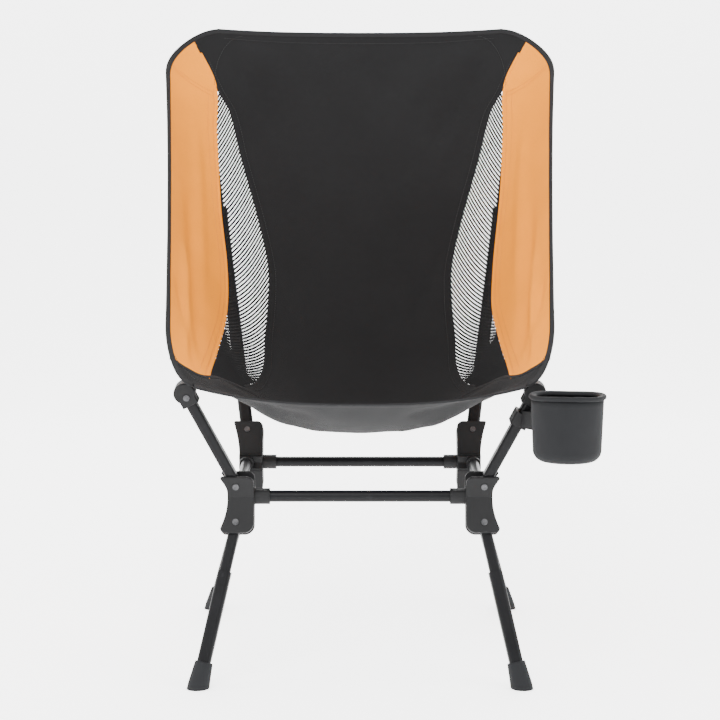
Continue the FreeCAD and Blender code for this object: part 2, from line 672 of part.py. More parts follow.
# ---------------------------------------------------------------- cup holder on the left arm
def cup_holder(side):
    sign = SIDES[side]
    axis = at(sign * size("cup_x"), -size("cup_y"), 0)
    top, tall, radius, wall = size("cup_top_z"), size("cup_height"), size("cup_radius"), size("cup_wall")
    outer = Part.makeCone(radius - 2.5, radius, tall, axis + Vector(0, 0, top - tall))
    low = [edge for edge in outer.Edges if edge.BoundBox.ZMax < top - tall + 0.1]
    outer = outer.makeFillet(13, low)
    inner = Part.makeCylinder(radius - wall - 2.5, tall, axis + Vector(0, 0, top - tall + wall))
    low = [edge for edge in inner.Edges if edge.BoundBox.ZMax < top - tall + wall + 0.1]
    feature("cup_body", outer.cut(inner.makeFillet(10, low)))
    ring = Part.makeCylinder(size("rim_radius"), size("rim_thick"), axis + Vector(0, 0, top))
    ring = ring.cut(Part.makeCylinder(radius - wall - 2, 20, axis + Vector(0, 0, top - 5)))
    rims = [edge for edge in ring.Edges if edge.BoundBox.ZLength < 0.01 and edge.BoundBox.XLength > 95]
    feature("cup_rim", ring.makeFillet(2.4, rims))

    pivot, far = limb("arm", side)
    lean = line_frame(pivot, far)
    grip = (far - pivot).Length - 34
    wrap = Part.makeBox(22, 26, 18, Vector(-11, -13, grip - 9))
    wrap = wrap.makeFillet(3, [edge for edge in wrap.Edges if edge.BoundBox.ZLength > 17])
    well = Part.makeBox(size("arm_width") + 0.1, size("arm_depth") + 0.1, 60,
                        Vector(-size("arm_width") / 2 - 0.05, -size("arm_depth") / 2 - 0.05, grip - 30))
    well = well.makeFillet(size("arm_round"), [edge for edge in well.Edges if edge.BoundBox.ZLength > 59])
    wrap = placed(wrap, lean)
    hold = lean.multVec(Vector(0, 0, grip))
    hold_level = Vector(hold.x, hold.y, 0)
    outwards = (Vector(axis.x, axis.y, 0) - hold_level).normalize()
    gap = (Vector(axis.x, axis.y, 0) - hold_level).Length - radius + 1.2
    link = Part.makeBox(gap, 12, 22, Vector(0, -6, -11))
    link.Placement = Placement(hold, Rotation(Vector(1, 0, 0), outwards))
    clear = Part.makeCone(radius - 2.3, radius + 0.25, tall, axis + Vector(0, 0, top - tall))
    clamp = wrap.fuse(link).cut(placed(well, lean)).cut(clear)
    feature("cup_clamp", clamp.removeSplitter())


cup_holder("left")

# ---------------------------------------------------------------- checks and export
doc.recompute()
faults = [item.Label for item in doc.Objects if "Invalid" in item.State or "Error" in item.State]
for item in MADE:
    if item.Shape.isNull() or not item.Shape.isValid() or item.Shape.Volume < 1:
        faults.append(item.Label)
if faults:
    raise RuntimeError("faulty objects: " + ", ".join(faults))
os.makedirs("parts", exist_ok=True)
corners = []
for item in MADE:
    corners += item.Shape.tessellate(0.2)[0]
    item.Shape.exportStep(f"parts/{item.Label}.step")
for axis in "xyz":
    values = [getattr(corner, axis) for corner in corners]
    print(axis, "from", round(min(values), 2), "to", round(max(values), 2))
print(len(MADE), "sub-parts")
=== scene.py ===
import math

import bmesh
import bpy
import numpy as np
from bpy.props import FloatProperty, FloatVectorProperty, IntProperty, PointerProperty
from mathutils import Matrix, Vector


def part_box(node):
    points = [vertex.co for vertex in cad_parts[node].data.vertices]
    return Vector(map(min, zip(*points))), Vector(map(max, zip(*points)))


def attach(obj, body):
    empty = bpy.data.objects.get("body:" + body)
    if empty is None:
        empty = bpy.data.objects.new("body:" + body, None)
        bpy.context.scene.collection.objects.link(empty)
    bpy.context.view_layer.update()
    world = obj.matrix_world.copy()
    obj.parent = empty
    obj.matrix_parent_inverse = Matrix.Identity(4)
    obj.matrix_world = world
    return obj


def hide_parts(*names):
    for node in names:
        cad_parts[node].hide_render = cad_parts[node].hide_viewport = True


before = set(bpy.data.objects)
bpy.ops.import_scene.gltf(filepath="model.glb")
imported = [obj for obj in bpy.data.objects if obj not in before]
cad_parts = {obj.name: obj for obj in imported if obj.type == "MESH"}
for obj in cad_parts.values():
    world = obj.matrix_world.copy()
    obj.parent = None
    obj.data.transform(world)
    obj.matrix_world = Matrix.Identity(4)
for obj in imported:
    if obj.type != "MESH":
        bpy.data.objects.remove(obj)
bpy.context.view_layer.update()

bl_info = {
    "name": "Camping Chair Maker",
    "version": (1, 0, 0),
    "blender": (4, 5, 0),
    "location": "View3D > Sidebar > Camping Chair",
    "description": "Clothes a low camping chair's frame in its fabric sling and finishes every part",
    "category": "Object",
}

SIDES = {"left": 1.0, "right": -1.0}


# ------------------------------------------------------------------ sizes and colours
class ChairSizes(bpy.types.PropertyGroup):
    cloth_thickness: FloatProperty(
        name="Cloth thickness", description="Thickness of the woven panels", default=0.0011, unit="LENGTH")
    tape_width: FloatProperty(
        name="Tape width", description="Width of the binding round the sling", default=0.0085, unit="LENGTH")
    tape_thickness: FloatProperty(
        name="Tape thickness", description="Thickness of the folded binding", default=0.0032, unit="LENGTH")
    net_pitch: FloatProperty(
        name="Net pitch", description="Distance between the net's strands", default=0.0033, unit="LENGTH")
    net_strand: FloatProperty(
        name="Net strand", description="Width of one strand of the net", default=0.0029, unit="LENGTH")
    stitch_length: FloatProperty(
        name="Stitch length", description="Length of one stitch and its gap", default=0.0042, unit="LENGTH")
    crease_depth: FloatProperty(
        name="Crease depth", description="Height of the cloth's soft creases", default=0.0045, unit="LENGTH")
    panel_rows: IntProperty(
        name="Panel rows", description="Grid rows down a cloth panel", default=150, min=20, max=400)


class ChairColours(bpy.types.PropertyGroup):
    black_cloth: FloatVectorProperty(
        name="Black cloth", description="Colour of the seat and back", subtype="COLOR",
        default=(0.0062, 0.0062, 0.0066))
    orange_cloth: FloatVectorProperty(
        name="Orange cloth", description="Colour of the wings", subtype="COLOR",
        default=(0.80, 0.245, 0.0))
    tube_black: FloatVectorProperty(
        name="Tube black", description="Colour of the tubes", subtype="COLOR",
        default=(0.003, 0.003, 0.0034))
    plastic_black: FloatVectorProperty(
        name="Plastic black", description="Colour of the hubs and caps", subtype="COLOR",
        default=(0.0045, 0.0045, 0.0048))
    rubber_grey: FloatVectorProperty(
        name="Rubber grey", description="Colour of the boots and the cup", subtype="COLOR",
        default=(0.0065, 0.0068, 0.0075))


def sizes():
    return bpy.context.scene.chair_sizes


def colours():
    return bpy.context.scene.chair_colours


# ------------------------------------------------------------------ shader building
class Value:
    """A shader socket that can be used in Python sums; each sum adds its Math node."""

    def __init__(self, paint, socket):
        self.paint = paint
        self.socket = socket

    def _sum(self, operation, first, second):
        node = self.paint.node("ShaderNodeMath", {"operation": operation}, {0: first, 1: second})
        return self.paint.value(node, 0)

    def __add__(self, other):
        return self._sum("ADD", self, other)

    def __sub__(self, other):
        return self._sum("SUBTRACT", self, other)

    def __rsub__(self, other):
        return self._sum("SUBTRACT", other, self)

    def __mul__(self, other):
        return self._sum("MULTIPLY", self, other)

    def __pow__(self, other):
        return self._sum("POWER", self, other)

    def __gt__(self, other):
        return self._sum("GREATER_THAN", self, other)

    def lowest(self, other):
        return self._sum("MINIMUM", self, other)

    def highest(self, other):
        return self._sum("MAXIMUM", self, other)

    def sine(self):
        return self._sum("SINE", self, 0.0)

    __radd__ = __add__
    __rmul__ = __mul__


class Paint:
    """One procedural material while it is put together."""

    def __init__(self, name):
        self.material = bpy.data.materials.new(name)
        self.material.use_nodes = True
        self.tree = self.material.node_tree
        self.tree.nodes.clear()
        self.surface = self.node("ShaderNodeBsdfPrincipled")
        output = self.node("ShaderNodeOutputMaterial")
        self.tree.links.new(self.surface.outputs["BSDF"], output.inputs["Surface"])
        place = self.node("ShaderNodeTexCoord")
        self.place = Value(self, place.outputs["Object"])

    def node(self, kind, settings=None, values=None):
        """Adds a node, makes its settings, then sets or links each input in `values`."""
        made = self.tree.nodes.new(kind)
        for name, setting in (settings or {}).items():
            setattr(made, name, setting)
        for key, value in (values or {}).items():
            self.put(made.inputs[key], value)
        return made

    def put(self, socket, value):
        if isinstance(value, Value):
            self.tree.links.new(value.socket, socket)
        else:
            socket.default_value = value

    def value(self, node, output):
        return Value(self, node.outputs[output])

    def noise(self, scale, detail=3.0, where=None, output="Fac"):
        settings = {"Vector": where or self.place, "Scale": scale, "Detail": detail}
        return self.value(self.node("ShaderNodeTexNoise", None, settings), output)

    def cloth_axes(self):
        """The along and across distances, in metres, of the piece's own map."""
        chart = self.node("ShaderNodeUVMap", {"uv_map": "cloth"})
        split = self.node("ShaderNodeSeparateXYZ", None, {0: self.value(chart, "UV")})
        return self.value(split, "X"), self.value(split, "Y")

    def shade(self, factor, dark, light):
        """A colour between two, by a factor."""
        mix = self.node("ShaderNodeMix", {"data_type": "RGBA"})
        self.put(mix.inputs[0], factor)
        self.put(mix.inputs[6], (*dark, 1.0))
        self.put(mix.inputs[7], (*light, 1.0))
        return Value(self, mix.outputs[2])

    def finish(self, colour=None, roughness=None, height=None, depth=0.0005, **fixed):
        """Sets the surface: varying colour, roughness and bump, and fixed numbers by socket name."""
        if colour is not None:
            self.put(self.surface.inputs["Base Color"], colour)
        if roughness is not None:
            self.put(self.surface.inputs["Roughness"], roughness)
        if height is not None:
            bump = self.node("ShaderNodeBump", None, {"Height": height, "Distance": depth, "Strength": 0.6})
            self.put(self.surface.inputs["Normal"], self.value(bump, "Normal"))
        for name, setting in fixed.items():
            self.surface.inputs[name.replace("_", " ")].default_value = setting
        return self.material


def tinted(colour, share):
    return tuple(min(channel * share, 1.0) for channel in colour)


def woven(name, colour, sheen, rows_per_metre=1500.0, glow=1.35):
    """Plain-weave cloth: crossed yarns as a product of sines along the piece's map, with uneven dye."""
    paint = Paint(name)
    along, across = paint.cloth_axes()
    wobble = paint.noise(60.0, 2.0) * 0.6
    yarn = math.pi * rows_per_metre
    weave = (along * yarn + wobble).sine() * (across * yarn + wobble).sine()
    slub = paint.noise(420.0, 2.0)
    dye = paint.noise(9.0, 4.0)
    tone = (dye * 0.55 + slub * 0.35 + weave * 0.08).highest(0.0).lowest(1.0)
    shade = paint.shade(tone, tinted(colour, 0.72), tinted(colour, glow))
    rough = 0.78 + slub * 0.14
    height = weave * 0.5 + slub * 0.8 + paint.noise(28.0, 3.0) * 1.6
    return paint.finish(shade, rough, height, 0.0006, Sheen_Weight=sheen, Sheen_Roughness=0.45,
                        Specular_IOR_Level=0.12)


def ribbed_tape():
    """Binding tape: fine ribs across its length."""
    paint = Paint("binding_tape")
    along, _ = paint.cloth_axes()
    ribs = (along * 3600.0).sine() * 0.5 + 0.5
    fuzz = paint.noise(500.0, 2.0)
    shade = paint.shade((ribs * 0.5 + fuzz * 0.5), tinted(colours().black_cloth, 0.9),
                        tinted(colours().black_cloth, 2.0))
    return paint.finish(shade, 0.7 + fuzz * 0.2, ribs + fuzz, 0.0003, Specular_IOR_Level=0.15)


def thread(name, colour):
    """Twisted sewing thread."""
    paint = Paint(name)
    twist = paint.noise(1500.0, 1.0)
    return paint.finish(paint.shade(twist, tinted(colour, 0.7), tinted(colour, 1.2)), 0.55 + twist * 0.2,
                        twist, 0.0002)


def satin_tube():
    """Black anodised tube: fine drawn lines along it, a faint haze and small rubbed spots."""
    paint = Paint("black_tube")
    stretch = paint.node("ShaderNodeMapping", None, {"Vector": paint.place, "Scale": (900.0, 900.0, 14.0)})
    drawn = paint.noise(1.0, 2.0, paint.value(stretch, "Vector"))
    haze = paint.noise(30.0, 4.0)
    rubbed = (paint.noise(70.0, 6.0) > 0.73) * 0.5
    shade = paint.shade((drawn * 0.3 + haze * 0.5 + rubbed).lowest(1.0), tinted(colours().tube_black, 0.7),
                        tinted(colours().tube_black, 2.6))
    return paint.finish(shade, 0.24 + drawn * 0.1 + haze * 0.14, drawn, 0.00005, Specular_IOR_Level=0.1)


def moulded_plastic():
    """Glass-filled nylon: spark-eroded grain, a slight sheen, and paler scuffs."""
    paint = Paint("moulded_plastic")
    grain = paint.noise(1500.0, 2.0)
    flow = paint.noise(26.0, 5.0)
    scuff = (paint.noise(140.0, 7.0) > 0.7) * 0.35
    shade = paint.shade((flow * 0.6 + grain * 0.2 + scuff).lowest(1.0), tinted(colours().plastic_black, 0.75),
                        tinted(colours().plastic_black, 1.9))
    return paint.finish(shade, 0.46 + grain * 0.16 + flow * 0.08, grain + flow * 0.6, 0.00012,
                        Specular_IOR_Level=0.16)


def soft_rubber(name, share):
    """Matt rubber with dusty patches and a fine pebble."""
    paint = Paint(name)
    pebble = paint.noise(900.0, 3.0)
    dust = paint.noise(22.0, 5.0) ** 1.6
    shade = paint.shade((dust + pebble * 0.2).lowest(1.0), tinted(colours().rubber_grey, share),
                        tinted(colours().rubber_grey, share * 2.0))
    return paint.finish(shade, 0.66 + pebble * 0.2, pebble, 0.0002, Specular_IOR_Level=0.12)


def blackened_steel():
    """Blacked steel pins: turned rings worn bright on the high spots."""
    paint = Paint("pin_steel")
    worn = paint.noise(260.0, 5.0)
    shade = paint.shade(worn ** 2.0, (0.03, 0.03, 0.032), (0.14, 0.14, 0.145))
    return paint.finish(shade, 0.36 + worn * 0.2, worn, 0.0001, Metallic=0.9)


def make_materials():
    hue = colours()
    return {
        "black_cloth": woven("black_cloth", hue.black_cloth, 0.02, glow=1.7),
        "orange_cloth": woven("orange_cloth", hue.orange_cloth, 0.0, glow=1.12),
        "net_yarn": woven("net_yarn", hue.black_cloth, 0.0),
        "binding_tape": ribbed_tape(),
        "black_thread": thread("black_thread", hue.black_cloth),
        "orange_thread": thread("orange_thread", tinted(hue.orange_cloth, 0.72)),
        "black_tube": satin_tube(),
        "moulded_plastic": moulded_plastic(),
        "boot_rubber": soft_rubber("boot_rubber", 1.0),
        "cup_rubber": soft_rubber("cup_rubber", 0.85),
        "pin_steel": blackened_steel(),
    }


MATERIALS = {}


def material(name):
    if not MATERIALS:
        MATERIALS.update(make_materials())
    return MATERIALS[name]


# ------------------------------------------------------------------ meshes
def new_piece(name, points, faces, material_name, chart=None, smooth=True):
    """Makes a mesh piece from whole arrays of points and faces; faces may be a list of corner lists."""
    mesh = bpy.data.meshes.new(name)
    mesh.from_pydata(points.reshape(-1, 3), [], faces)
    if chart is not None:
        layer = mesh.uv_layers.new(name="cloth")
        corners = np.empty(len(mesh.loops), np.int32)
        mesh.loops.foreach_get("vertex_index", corners)
        layer.data.foreach_set("uv", chart.reshape(-1, 2)[corners].ravel())
    mesh.polygons.foreach_set("use_smooth", np.full(len(mesh.polygons), smooth))
    mesh.update()
    piece = bpy.data.objects.new(name, mesh)
    bpy.context.scene.collection.objects.link(piece)
    mesh.materials.append(material(material_name))
    return piece


def ride(piece, body, slot, *nodes):
    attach(piece, body)
    if nodes:
        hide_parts(*nodes)
    return piece


def grid_faces(rows, columns, around=False):
    """Four-cornered faces of a rows by columns grid of points; around joins the last column to the first."""
    i, j = np.meshgrid(np.arange(rows - 1), np.arange(columns if around else columns - 1), indexing="ij")
    after = (j + 1) % columns
    corners = [i * columns + j, (i + 1) * columns + j, (i + 1) * columns + after, i * columns + after]
    return np.stack(corners, -1).reshape(-1, 4)


def surface_normals(points):
    """Unit normals of a grid of points: the cross product of its two directions."""
    over = np.gradient(points, axis=0)
    along = np.gradient(points, axis=1)
    normal = np.cross(over, along)
    return normal / np.maximum(np.linalg.norm(normal, axis=-1, keepdims=True), 1e-12)


def distances(points):
    """Chart of a grid in metres: the mean running length down, and the length across from the middle."""
    down = np.linalg.norm(np.diff(points, axis=1), axis=-1).mean(0)
    over = np.linalg.norm(np.diff(points, axis=0), axis=-1)
    along = np.concatenate([[0.0], np.cumsum(down)])
    across = np.concatenate([np.zeros((1, points.shape[1])), np.cumsum(over, axis=0)])
    across = across - across[-1:] / 2
    return np.stack([np.broadcast_to(along, points.shape[:2]), across], -1)


def cloth_sheet(name, points, thickness, material_name):
    """A closed sheet: the grid moved half the thickness each way along its normals, joined round the edge."""
    rows, columns = points.shape[:2]
    normal = surface_normals(points)
    skins = np.stack([points - normal * thickness / 2, points + normal * thickness / 2])
    count = rows * columns
    face = grid_faces(rows, columns)
    index = np.arange(count).reshape(rows, columns)
    rim = np.concatenate([index[0, :], index[1:, -1], index[-1, -2::-1], index[-2:0:-1, 0]])
    after = np.roll(rim, -1)
    wall = np.stack([rim, after, after + count, rim + count], -1)
    faces = np.concatenate([face, face[:, ::-1] + count, wall])
    chart = distances(points)
    piece = new_piece(name, skins, faces, material_name, np.stack([chart, chart]))
    outward(piece)
    return piece


def outward(piece, merge=False):
    """Turns every face of a closed mesh outwards, after merging its doubled points if asked."""
    work = bmesh.new()
    work.from_mesh(piece.data)
    if merge:
        bmesh.ops.remove_doubles(work, verts=work.verts, dist=1e-6)
    bmesh.ops.recalc_face_normals(work, faces=work.faces)
    work.to_mesh(piece.data)
    work.free()


# ------------------------------------------------------------------ the sling's shape
LOW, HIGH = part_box("side_bar_left")
BASE_Y = (LOW.y + HIGH.y) / 2
TOP_EDGE = (0.415, 0.890)
FRONT_EDGE = (-0.205, 0.360)
WING_TOP = (0.402, 0.903)
WING_FRONT = (-0.230, 0.399)
HALF_TOP, HALF_FRONT = 0.310, 0.243
TOP_ROUND, FRONT_ROUND = 0.166, 0.12
FLAT_TOP, FLAT_FRONT = 0.71, 0.85
CENTRE_SEAM = [(0.0, 0.90), (0.104, 0.75), (0.135, 0.68), (0.2, 0.624), (0.29, 0.53), (0.35, 0.484),
               (0.42, 0.486), (0.5, 0.503), (0.58, 0.512), (0.67, 0.555), (0.75, 0.615), (1.0, 0.66)]
WING_SEAM = [(0.0, 0.90), (0.05, 0.826), (0.104, 0.755), (0.19, 0.757), (0.32, 0.742), (0.43, 0.712),
             (0.53, 0.708), (0.7, 0.752), (0.85, 0.785), (1.0, 0.81)]
SEAT_SEAM = [(0.0, 0.73), (0.45, 0.73), (0.58, 0.745), (0.7, 0.835), (0.8, 0.925), (0.9, 0.95), (1.0, 0.95)]
NET_START = 0.106
WING_START = 0.027


def through(knots, where):
    """A smooth curve through (place, value) knots, by cubic Hermite spans."""
    spots, values = np.array(knots).T
    low = np.maximum(np.arange(len(spots)) - 1, 0)
    high = np.minimum(np.arange(len(spots)) + 1, len(spots) - 1)
    slopes = (values[high] - values[low]) / (spots[high] - spots[low])
    where = np.clip(where, spots[0], spots[-1])
    span = np.clip(np.searchsorted(spots, where, side="right") - 1, 0, len(spots) - 2)
    width = spots[span + 1] - spots[span]
    part = (where - spots[span]) / width
    return ((2 * part ** 3 - 3 * part ** 2 + 1) * values[span]
            + (part ** 3 - 2 * part ** 2 + part) * width * slopes[span]
            + (3 * part ** 2 - 2 * part ** 3) * values[span + 1]
            + (part ** 3 - part ** 2) * width * slopes[span + 1])


def middle_line(down):
    """The sling's middle from top edge to front edge: a Bezier curve of five poles, as (Y, Z)."""
    poles = np.array([TOP_EDGE, (0.325, 0.600), (0.205, 0.215), (-0.020, 0.268), FRONT_EDGE])
    weights = [math.comb(4, index) * (1 - down) ** (4 - index) * down ** index for index in range(5)]
    return (sum(w * pole[0] for w, pole in zip(weights, poles)),
            sum(w * pole[1] for w, pole in zip(weights, poles)))


def bare_sling(across, down):
    """The smooth sling: middle line and outer edge blended by the distance across to the power 2.6."""
    mid_y, mid_z = middle_line(down)
    edge_y = WING_TOP[0] + (WING_FRONT[0] - WING_TOP[0]) * down ** 1.2
    edge_z = WING_TOP[1] + (WING_FRONT[1] - WING_TOP[1]) * down
    half = HALF_TOP + (HALF_FRONT - HALF_TOP) * down
    share = np.abs(across) ** 2.6
    return np.stack([half * across, BASE_Y + mid_y + (edge_y - mid_y) * share,
                     mid_z + (edge_z - mid_z) * share], -1)


NUDGE = 1e-3


def upright(surface, across, down):
    """Unit normal of a surface: the cross product of its two directions, each from two near points."""
    over = surface(across + NUDGE, down) - surface(across - NUDGE, down)
    drop = surface(across, np.minimum(down + NUDGE, 1)) - surface(across, np.maximum(down - NUDGE, 0))
    normal = np.cross(over, drop)
    return normal / np.maximum(np.linalg.norm(normal, axis=-1, keepdims=True), 1e-12)


def ridge(across, down, start, finish, width, fade=0.35):
    """A soft crease between two places (across, down): a bell across its line that fades at both ends."""
    line = np.subtract(finish, start)
    length = np.hypot(*line)
    run = ((across - start[0]) * line[0] + (down - start[1]) * line[1]) / length ** 2
    off = ((across - start[0]) * line[1] - (down - start[1]) * line[0]) / length
    ends = np.clip(np.minimum(run, 1 - run) / fade + 0.35, 0, 1)
    inside = np.clip(np.minimum(run + 0.15, 1.15 - run) / 0.3, 0, 1)
    return np.exp(-(off / width) ** 2) * ends * inside * inside


# Creases of one half of the sling: (start, finish, width, share of the crease depth).
CREASES = [
    ((0.80, 0.98), (0.30, 0.84), 0.035, 1.0),
    ((0.84, 0.95), (0.45, 0.76), 0.030, -0.9),
    ((0.78, 1.00), (0.20, 0.93), 0.025, -0.7),
    ((0.60, 0.93), (0.15, 0.80), 0.040, 0.8),
    ((0.70, 0.04), (0.35, 0.16), 0.030, 0.8),
    ((0.66, 0.02), (0.18, 0.09), 0.025, -0.7),
    ((0.60, 0.14), (0.20, 0.22), 0.030, -0.5),
    ((0.50, 0.30), (0.25, 0.42), 0.035, 0.45),
    ((0.90, 0.40), (0.84, 0.88), 0.030, 1.5),
    ((0.93, 0.55), (0.90, 0.93), 0.022, -1.2),
    ((0.86, 0.20), (0.83, 0.60), 0.026, -0.8),
    ((0.97, 0.70), (0.86, 0.92), 0.020, 0.9),
]


def sling(across, down):
    """The worn-in sling: the smooth one with creases and slow waves along its normal."""
    across, down = np.broadcast_arrays(np.asarray(across, float), np.asarray(down, float))
    normal = upright(bare_sling, across, down)
    lift = 0.16 * np.sin(9 * across + 14 * down + 0.7) * np.sin(23 * down - 3 * across)
    lift += 0.10 * np.sin(31 * across - 17 * down + 1.9) * np.sin(11 * down + 0.4)
    for start, finish, width, share in CREASES:
        for sign in (1, -1):
            place = (start[0] * sign, start[1]), (finish[0] * sign, finish[1])
            bend = 1.0 if sign > 0 else 0.8
            lift = lift + bend * share * ridge(across, down, *place, width)
    edge = np.clip((outline(down) - np.abs(across)) / 0.06, 0, 1)
    edge = edge * np.clip(down / 0.03, 0, 1) * np.clip((1 - down) / 0.03, 0, 1)
    lift = lift * (0.15 + 0.85 * edge) * sizes().crease_depth
    return bare_sling(across, down) + normal * lift[..., None]


def outline(down):
    """How far the sheet reaches across: quarter ellipses at its top and front corners."""
    down = np.asarray(down, float)
    top = np.clip(1 - down / TOP_ROUND, 0, 1)
    front = np.clip((down - 1 + FRONT_ROUND) / FRONT_ROUND, 0, 1)
    return (1 - (1 - FLAT_TOP) * (1 - np.sqrt(1 - top ** 2))
            - (1 - FLAT_FRONT) * (1 - np.sqrt(1 - front ** 2)))


def seat_seam(across):
    """Where the back's panels meet the seat panel: lower towards the wings."""
    return through(SEAT_SEAM, np.abs(across))


def seam_crossing(across_at, part):
    """How far down each line meets the seat's seam, by repeated substitution."""
    down = np.full_like(part, 0.8)
    for _ in range(12):
        down = seat_seam(across_at(part, down))
    return down


def between(inner, outer, first, count_across, count_down, crowd=1.0):
    """A grid between two seams, from `first` down to the seat's seam: (across, down) arrays."""
    part = np.linspace(0, 1, count_across)

    def across_at(share, down):
        return inner(down) + (outer(down) - inner(down)) * share

    finish = seam_crossing(across_at, part)
    down = first + (finish[:, None] - first) * np.linspace(0, 1, count_down) ** crowd
    return across_at(part[:, None], down), down


def wing_inner(down):
    return np.minimum(through(WING_SEAM, down), outline(down) - 0.002)


def centre_half(down):
    return np.minimum(through(CENTRE_SEAM, down), outline(down))


# ------------------------------------------------------------------ seams, tapes and stitches
def strip_frame(route, count, crowd=1.0):
    """Points along a route on the sling with its direction, the sling's normal and the way across."""
    part = np.linspace(0, 1, count) ** crowd
    across, down = route(part)
    points = sling(across, down)
    along = np.gradient(points, axis=0)
    along /= np.maximum(np.linalg.norm(along, axis=-1, keepdims=True), 1e-9)
    normal = upright(sling, across, down)
    if float(normal[..., 2].mean()) < 0:
        normal = -normal
    return points, along, normal, np.cross(normal, along)


TAPE_SQUARENESS = 0.5


def band(name, route, width, thickness, material_name, count, crowd=1.0):
    """A flat tape along a route: a rounded oblong profile carried along it, closed at both ends."""
    points, along, normal, aside = strip_frame(route, count, crowd)
    turn = np.linspace(0, 2 * np.pi, 20, endpoint=False)
    wide = np.sign(np.cos(turn)) * np.abs(np.cos(turn)) ** TAPE_SQUARENESS * width / 2
    tall = np.sign(np.sin(turn)) * np.abs(np.sin(turn)) ** TAPE_SQUARENESS * thickness / 2
    ring = (points[:, None] + aside[:, None] * wide[None, :, None]
            + normal[:, None] * tall[None, :, None])
    rows, columns = ring.shape[:2]
    middle = ring.mean(1)[[0, -1]]
    faces = grid_faces(rows, columns, around=True)
    chart_along = np.concatenate([[0], np.cumsum(np.linalg.norm(np.diff(points, axis=0), axis=-1))])
    chart = np.stack(np.broadcast_arrays(chart_along[:, None], wide[None, :]), -1).reshape(-1, 2)
    chart = np.concatenate([chart, [[0, 0], [chart_along[-1], 0]]])
    total = rows * columns
    index = np.arange(columns)
    after = np.roll(index, -1)
    last_ring = total - columns
    caps = np.concatenate([
        np.stack([index, after, np.full(columns, total)], -1),
        np.stack([after + last_ring, index + last_ring, np.full(columns, total + 1)], -1)])
    everything = np.concatenate([ring.reshape(-1, 3), middle])
    piece = new_piece(name, everything, faces.tolist() + caps.tolist(), material_name, chart)
    outward(piece)
    return piece


def picked(spots, run, values):
    """Values along a route, read at some of its distances."""
    return np.stack([np.interp(spots, run, values[:, axis]) for axis in range(3)], -1)


STITCH_LIFT, STITCH_THICKNESS, STITCH_FILL = 0.0011, 0.0007, 0.68


def stitches(name, routes, material_name):
    """Rows of stitches: each a small six-sided lozenge laid along its route, all in one mesh."""
    pitch = sizes().stitch_length
    centres, ways, rises, asides = [], [], [], []
    for route, shift in routes:
        points, along, normal, aside = strip_frame(route, 700)
        run = np.concatenate([[0], np.cumsum(np.linalg.norm(np.diff(points, axis=0), axis=-1))])
        spots = np.arange(pitch, run[-1] - pitch, pitch)
        ways.append(picked(spots, run, along))
        rises.append(picked(spots, run, normal))
        asides.append(picked(spots, run, aside))
        centres.append(picked(spots, run, points) + asides[-1] * shift + rises[-1] * STITCH_LIFT)
    centre, way, rise, aside = (np.concatenate(part)[:, None] for part in (centres, ways, rises, asides))
    turn = np.linspace(0, 2 * np.pi, 6, endpoint=False)
    stations = np.array([-0.5, -0.3, 0.3, 0.5]) * pitch * STITCH_FILL
    swell = np.array([0.25, 1.0, 1.0, 0.25]) * STITCH_THICKNESS / 2
    along, turned = np.meshgrid(stations, turn, indexing="ij")
    swollen = np.broadcast_to(swell[:, None], along.shape).ravel()
    along, turned = along.ravel(), turned.ravel()
    points = (centre + way * along[None, :, None] + aside * (np.cos(turned) * swollen)[None, :, None]
              + rise * (np.sin(turned) * swollen)[None, :, None])
    count, each = points.shape[:2]
    tube = grid_faces(4, 6, around=True)
    ends = np.array([[0, 5, 4, 3], [0, 3, 2, 1], [18, 19, 20, 21], [18, 21, 22, 23]])
    faces = np.concatenate([tube, ends])
    faces = (faces[None] + (np.arange(count) * each)[:, None, None]).reshape(-1, 4)
    piece = new_piece(name, points, faces, material_name)
    outward(piece)
    return piece


EDGE_START, EDGE_RUN = 0.0004, 0.9985


def side_route(sign, seam, first, last):
    """A route along a seam, from one share of the way down to another; sign picks the side."""
    return lambda part: (sign * through(seam, first + (last - first) * part), first + (last - first) * part)


def beside(sign, seam, shift, first, last):
    """A route that keeps a set distance to one side of a seam."""
    return side_route(sign, [(down, across + shift) for down, across in seam], first, last)


def edge_route(sign):
    """A route down the sling's outer edge."""
    return lambda part: (sign * outline(EDGE_START + EDGE_RUN * part), EDGE_START + EDGE_RUN * part)


class CHAIR_OT_back(bpy.types.Operator):
    """Make the black back panel"""
    bl_idname = "chair.back"
    bl_label = "Back Panel"

    COLUMNS, EXTRA_ROWS, CROWD = 121, 50, 1.35

    def execute(self, context):
        rows = sizes().panel_rows + self.EXTRA_ROWS
        grid = between(lambda down: -centre_half(down), centre_half, 0.0, self.COLUMNS, rows, self.CROWD)
        points = sling(*grid)
        piece = cloth_sheet("back_cloth", points, sizes().cloth_thickness, "black_cloth")
        ride(piece, "frame", "black_fabric", "back_panel")
        return {"FINISHED"}


class CHAIR_OT_seat(bpy.types.Operator):
    """Make the black seat panel that carries the corners and the front edge"""
    bl_idname = "chair.seat"
    bl_label = "Seat Panel"

    COLUMNS = 161

    def execute(self, context):
        part = np.linspace(0, 1, self.COLUMNS)

        def across_at(share, down):
            return (2 * share - 1) * outline(down)

        start = seam_crossing(across_at, part)
        step = 1 - (1 - np.linspace(0, 1, 60)) ** 1.4
        down = start[:, None] + (1 - start[:, None]) * step
        points = sling(across_at(part[:, None], down), down)
        piece = cloth_sheet("seat_cloth", points, sizes().cloth_thickness, "black_cloth")
        ride(piece, "frame", "black_fabric", "seat_panel")
        return {"FINISHED"}


